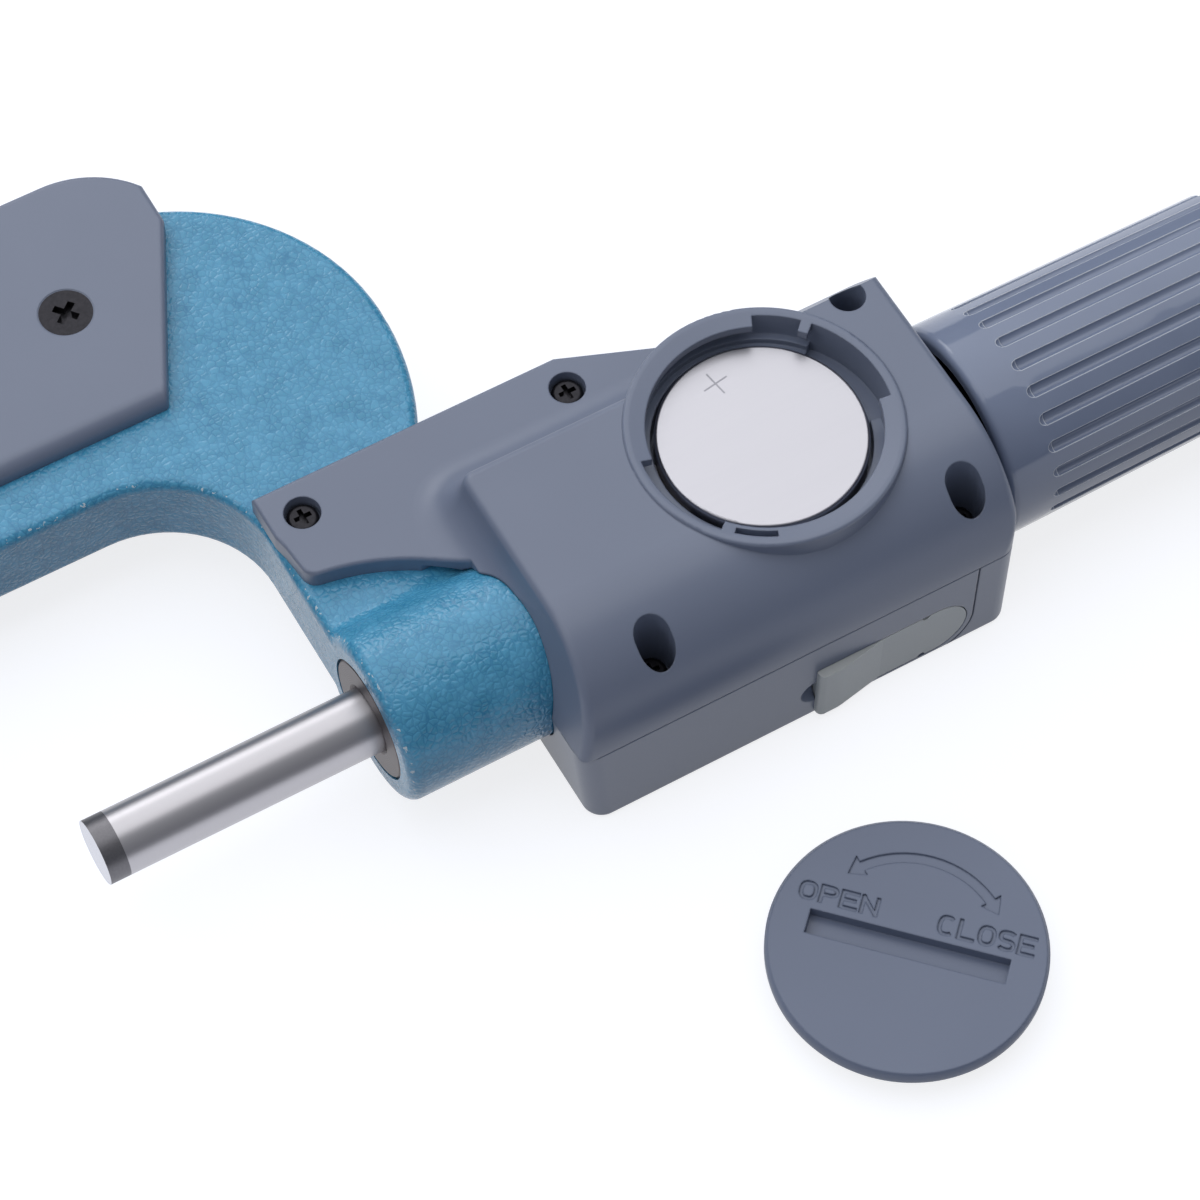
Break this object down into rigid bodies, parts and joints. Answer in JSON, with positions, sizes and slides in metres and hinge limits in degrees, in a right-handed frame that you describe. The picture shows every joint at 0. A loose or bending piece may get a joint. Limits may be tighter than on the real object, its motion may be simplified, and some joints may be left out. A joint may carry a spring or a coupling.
{
  "type": "digital outside micrometer",
  "caption": "Digital outside micrometer with a C frame, a fluted ratchet thimble and a moulded housing whose battery compartment is open, its cap lying apart.",
  "frame": {"origin": "centre of the anvil's measuring face", "axes": "+X from the anvil along the spindle, +Y towards the back of the frame, +Z out of the rear face, where the battery sits"},
  "size_m": [0.1878, 0.1178, 0.0237],
  "materials": {
    "frame_paint": "hammer-tone paint on a casting",
    "housing_abs": "fine matt moulding",
    "grip_abs": "fine matt moulding",
    "thimble_abs": "gloss moulding",
    "ground_steel": "ground",
    "turned_steel": "turned",
    "carbide": "lapped",
    "sleeve_aluminium": "satin",
    "black_screw_steel": "blackened",
    "cell_steel": "nickelled",
    "contact_metal": "nickelled",
    "plug_rubber": "soft matt",
    "seal_rubber": "soft",
    "circuit_board": "solder-masked",
    "black_plastic": "moulded",
    "display_panel": "polished",
    "display_window": "clear",
    "button_plastic": "moulded"
  },
  "bodies": {
    "root": {"frame": "frame_paint", "anvil": "ground_steel", "anvil_tip": "carbide", "spindle_bush": "turned_steel", "inner_sleeve": "ground_steel", "adjusting_nut": "ground_steel", "outer_sleeve": "sleeve_aluminium", "rear_grip_plate": "grip_abs", "front_grip_plate": "grip_abs", "grip_plate_screws": "black_screw_steel", "rear_housing": "housing_abs", "front_housing": "housing_abs", "flange_screws": "black_screw_steel", "housing_screws": "black_screw_steel", "battery_cell": "cell_steel", "battery_floor_contact": "contact_metal", "battery_side_contact": "contact_metal", "battery_cap": "housing_abs", "battery_cap_seal": "seal_rubber", "circuit_board": "circuit_board", "display_panel": "display_panel", "display_window": "display_window", "port_connector": "black_plastic", "encoder_stator": "black_plastic"},
    "encoder_disc": {"encoder_rotor": "black_plastic"},
    "spindle": {"spindle": "ground_steel", "spindle_tip": "carbide", "thimble": "thimble_abs", "thimble_core": "sleeve_aluminium", "ratchet_seat": "ground_steel", "ratchet_screw": "black_screw_steel"},
    "ratchet": {"ratchet_knob": "thimble_abs", "ratchet_pawl": "ground_steel", "ratchet_spring": "ground_steel"},
    "lock": {"lock_lever": "turned_steel", "lock_stud": "ground_steel"},
    "port_cover": {"port_plug": "plug_rubber"},
    "button_1_key": {"button_1": "button_plastic"},
    "button_2_key": {"button_2": "button_plastic"},
    "button_3_key": {"button_3": "button_plastic"}
  },
  "joints": [
    {"name": "thimble_turn", "type": "hinge", "parent": "root", "child": "encoder_disc", "pos_m": [0.078, 0, 0], "axis": [1, 0, 0], "range_deg": [0, 18000]},
    {"name": "spindle_feed", "type": "slide", "parent": "encoder_disc", "child": "spindle", "axis": [1, 0, 0], "range_m": [0, 0.025]},
    {"name": "ratchet_slip", "type": "hinge", "parent": "spindle", "child": "ratchet", "pos_m": [0.155, 0, 0], "axis": [1, 0, 0], "continuous": true},
    {"name": "lock_swing", "type": "hinge", "parent": "root", "child": "lock", "pos_m": [0.0609, 0, -0.0095], "axis": [0, 0, 1], "range_deg": [0, 60]},
    {"name": "port_cover_pull", "type": "slide", "parent": "root", "child": "port_cover", "axis": [0, -1, 0], "range_m": [0, 0.005]},
    {"name": "button_1_press", "type": "slide", "parent": "root", "child": "button_1_key", "axis": [0, 0, 1], "range_m": [0, 0.0004], "stiffness_N_per_m": 200, "springref_m": -0.0005},
    {"name": "button_2_press", "type": "slide", "parent": "root", "child": "button_2_key", "axis": [0, 0, 1], "range_m": [0, 0.0004], "stiffness_N_per_m": 200, "springref_m": -0.0005},
    {"name": "button_3_press", "type": "slide", "parent": "root", "child": "button_3_key", "axis": [0, 0, 1], "range_m": [0, 0.0004], "stiffness_N_per_m": 200, "springref_m": -0.0005}
  ],
  "couplings": [
    {"joint": "spindle_feed", "follows": "thimble_turn", "m_per_rad": 0.000079577}
  ]
}
